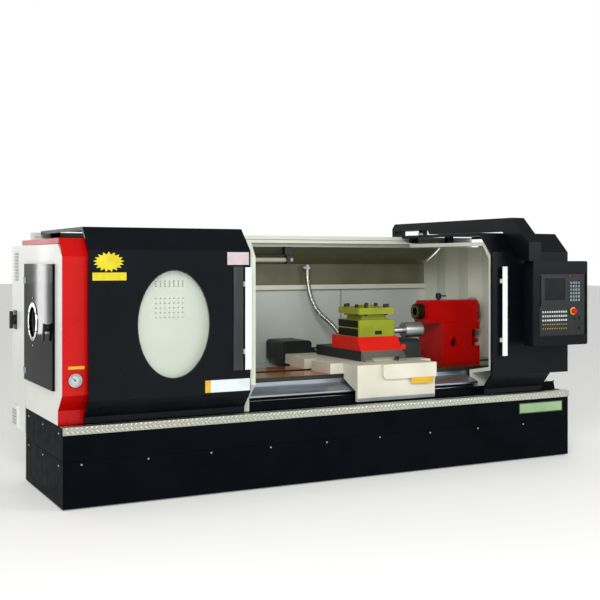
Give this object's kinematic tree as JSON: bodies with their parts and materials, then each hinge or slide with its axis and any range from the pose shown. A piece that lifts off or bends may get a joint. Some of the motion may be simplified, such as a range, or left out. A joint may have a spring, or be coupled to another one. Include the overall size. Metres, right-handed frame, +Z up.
{
  "type": "cnc turning lathe",
  "caption": "Flat-bed turning lathe with sliding guards, chuck, tool turret, tailstock and a travelling control box; it turns round metal parts.",
  "frame": {"origin": "on the floor, under the centre of the machine's bounding box", "axes": "+X along the bed from the headstock to the tailstock, +Y from the operator's side to the back, +Z up"},
  "size_m": [3.87, 1.817, 1.77],
  "materials": {
    "black_paint": "semi-gloss",
    "tread_aluminium": "satin",
    "bed_iron": "ground and oily",
    "silver_sheet": "brushed",
    "grey_iron": "painted grey, matt",
    "machined_steel": "machined",
    "rubber_belt": "matt",
    "dark_grey_paint": "satin",
    "red_paint": "semi-gloss",
    "cream_paint": "semi-gloss",
    "white_paint": "semi-gloss",
    "dark_gloss_paint": "gloss",
    "bright_chrome": "polished",
    "black_plastic": "matt",
    "gauge_face": "satin",
    "needle_red": "satin",
    "window_glass": "clear",
    "handle_white": "gloss",
    "panel_grey": "satin film",
    "screen_black": "gloss",
    "stop_red": "gloss",
    "carriage_paint": "semi-gloss",
    "turret_paint": "semi-gloss",
    "screw_black": "black oxide",
    "lamp_tube": "satin",
    "wall_paint": "semi-gloss",
    "hose_steel": "interlocked conduit"
  },
  "bodies": {
    "machine": {"base_shell": "black_paint", "tread_plate": "tread_aluminium", "bed_pedestals": "black_paint", "bed": "bed_iron", "rail_cover": "silver_sheet", "headstock": "grey_iron", "spindle_bearings": "machined_steel", "drive_belt": "rubber_belt", "main_motor": "dark_grey_paint", "headstock_guard": "red_paint", "chuck_guard": "cream_paint", "end_frame": "white_paint", "pressure_gauge": "gauge_face", "electrical_cabinet": "white_paint", "rear_frame": "cream_paint", "back_guard": "wall_paint", "tail_guard": "cream_paint", "carriage_servo": "dark_grey_paint", "work_lamp": "lamp_tube", "hose_fitting": "bright_chrome", "coolant_hose": "hose_steel"},
    "spindle_set": {"spindle": "machined_steel", "spindle_pulley": "grey_iron", "chuck": "machined_steel"},
    "chuck_jaw_1": {"jaw_1": "machined_steel"},
    "chuck_jaw_2": {"jaw_2": "machined_steel"},
    "chuck_jaw_3": {"jaw_3": "machined_steel"},
    "motor_pulley_set": {"motor_pulley": "grey_iron"},
    "left_door_set": {"left_door": "black_paint", "door_window": "window_glass", "left_door_handle": "handle_white"},
    "right_door_set": {"right_door": "black_paint", "right_door_handle": "handle_white"},
    "gantry_set": {"gantry_arm": "black_paint", "control_box": "black_paint", "control_panel": "panel_grey", "screen_unit": "screen_black"},
    "roller_set": {"gantry_roller": "machined_steel"},
    "stop_set": {"stop_button": "stop_red"},
    "screw_set": {"long_screw": "machined_steel"},
    "carriage_set": {"carriage": "carriage_paint", "cross_motor": "dark_grey_paint"},
    "cross_slide_set": {"cross_slide": "machined_steel", "slide_hood": "dark_grey_paint", "turret_base": "red_paint", "turret_body": "turret_paint", "turret_motor": "machined_steel"},
    "turret_set": {"turret_head": "turret_paint", "tool_screws": "screw_black"},
    "tailstock_set": {"tailstock_base": "red_paint", "tailstock_barrel": "red_paint"},
    "quill_set": {"quill": "machined_steel"},
    "handwheel_set": {"tailstock_handwheel": "bright_chrome"},
    "lever_set": {"clamp_lever": "black_plastic"},
    "end_door_set": {"end_door": "dark_gloss_paint", "end_door_ring": "bright_chrome"},
    "latch_set": {"end_door_latch": "black_plastic"},
    "cabinet_door_set": {"cabinet_door": "white_paint"},
    "switch_set": {"cabinet_switch": "black_plastic"},
    "needle_set": {"gauge_needle": "needle_red"}
  },
  "joints": [
    {"name": "spindle_turn", "type": "hinge", "parent": "machine", "child": "spindle_set", "pos_m": [-1.291, -0.0115, 1.067], "axis": [1, 0, 0], "continuous": true},
    {"name": "motor_turn", "type": "hinge", "parent": "machine", "child": "motor_pulley_set", "pos_m": [-1.691, -0.0115, 0.185], "axis": [1, 0, 0], "continuous": true},
    {"name": "jaw_1_slide", "type": "slide", "parent": "spindle_set", "child": "chuck_jaw_1", "axis": [0, 0, 1], "range_m": [-0.015, 0.025]},
    {"name": "jaw_2_slide", "type": "slide", "parent": "spindle_set", "child": "chuck_jaw_2", "axis": [0, -0.866, -0.5], "range_m": [-0.015, 0.025]},
    {"name": "jaw_3_slide", "type": "slide", "parent": "spindle_set", "child": "chuck_jaw_3", "axis": [0, 0.866, -0.5], "range_m": [-0.015, 0.025]},
    {"name": "left_door_slide", "type": "slide", "parent": "machine", "child": "left_door_set", "axis": [1, 0, 0], "range_m": [0, 1.04]},
    {"name": "right_door_slide", "type": "slide", "parent": "machine", "child": "right_door_set", "axis": [1, 0, 0], "range_m": [-0.68, 0]},
    {"name": "gantry_slide", "type": "slide", "parent": "machine", "child": "gantry_set", "axis": [1, 0, 0], "range_m": [-1.8, 0]},
    {"name": "roller_turn", "type": "hinge", "parent": "gantry_set", "child": "roller_set", "pos_m": [1.444, 0.5185, 1.6783], "axis": [0, 1, 0], "continuous": true},
    {"name": "stop_press", "type": "slide", "parent": "gantry_set", "child": "stop_set", "axis": [0, 1, 0], "range_m": [0, 0.005], "stiffness_N_per_m": 1500},
    {"name": "long_screw_turn", "type": "hinge", "parent": "machine", "child": "screw_set", "pos_m": [0.249, -0.4565, 0.524], "axis": [1, 0, 0], "range_deg": [-2161, 28081]},
    {"name": "carriage_slide", "type": "slide", "parent": "machine", "child": "carriage_set", "axis": [1, 0, 0], "range_m": [-0.78, 0.06]},
    {"name": "cross_slide_move", "type": "slide", "parent": "carriage_set", "child": "cross_slide_set", "axis": [0, 1, 0], "range_m": [-0.2, 0.1]},
    {"name": "turret_turn", "type": "hinge", "parent": "cross_slide_set", "child": "turret_set", "pos_m": [0.494, -0.1415, 1.04], "axis": [0, 0, 1], "continuous": true},
    {"name": "tailstock_slide", "type": "slide", "parent": "machine", "child": "tailstock_set", "axis": [1, 0, 0], "range_m": [-0.2, 0]},
    {"name": "handwheel_turn", "type": "hinge", "parent": "tailstock_set", "child": "handwheel_set", "pos_m": [1.549, -0.0115, 1.067], "axis": [1, 0, 0], "range_deg": [-9001, 0]},
    {"name": "quill_slide", "type": "slide", "parent": "tailstock_set", "child": "quill_set", "axis": [-1, 0, 0], "range_m": [0, 0.15]},
    {"name": "clamp_lever_turn", "type": "hinge", "parent": "tailstock_set", "child": "lever_set", "pos_m": [1.227, -0.0115, 1.18], "axis": [0, 0, 1], "range_deg": [-70, 0]},
    {"name": "end_door_turn", "type": "hinge", "parent": "machine", "child": "end_door_set", "pos_m": [-1.9, 0.2545, 1.055], "axis": [0, 0, 1], "range_deg": [-110, 0]},
    {"name": "latch_turn", "type": "hinge", "parent": "end_door_set", "child": "latch_set", "pos_m": [-1.921, -0.4015, 1.05], "axis": [1, 0, 0], "range_deg": [0, 90]},
    {"name": "cabinet_door_turn", "type": "hinge", "parent": "machine", "child": "cabinet_door_set", "pos_m": [-0.737, 0.6955, 0.93], "axis": [0, 0, 1], "range_deg": [-90, 0]},
    {"name": "switch_turn", "type": "hinge", "parent": "machine", "child": "switch_set", "pos_m": [-1.911, 0.5835, 1.05], "axis": [1, 0, 0], "range_deg": [0, 90]},
    {"name": "needle_turn", "type": "hinge", "parent": "machine", "child": "needle_set", "pos_m": [-1.818, -0.6915, 0.757], "axis": [0, 1, 0], "range_deg": [-90, 180], "stiffness_Nm_per_rad": 0.01}
  ],
  "couplings": [
    {"joint": "motor_turn", "follows": "spindle_turn", "ratio": 1.6667},
    {"joint": "jaw_2_slide", "follows": "jaw_1_slide", "ratio": 1},
    {"joint": "jaw_3_slide", "follows": "jaw_1_slide", "ratio": 1},
    {"joint": "roller_turn", "follows": "gantry_slide", "rad_per_m": 35.714},
    {"joint": "long_screw_turn", "follows": "carriage_slide", "rad_per_m": -628.32},
    {"joint": "handwheel_turn", "follows": "quill_slide", "rad_per_m": -1047.2}
  ]
}
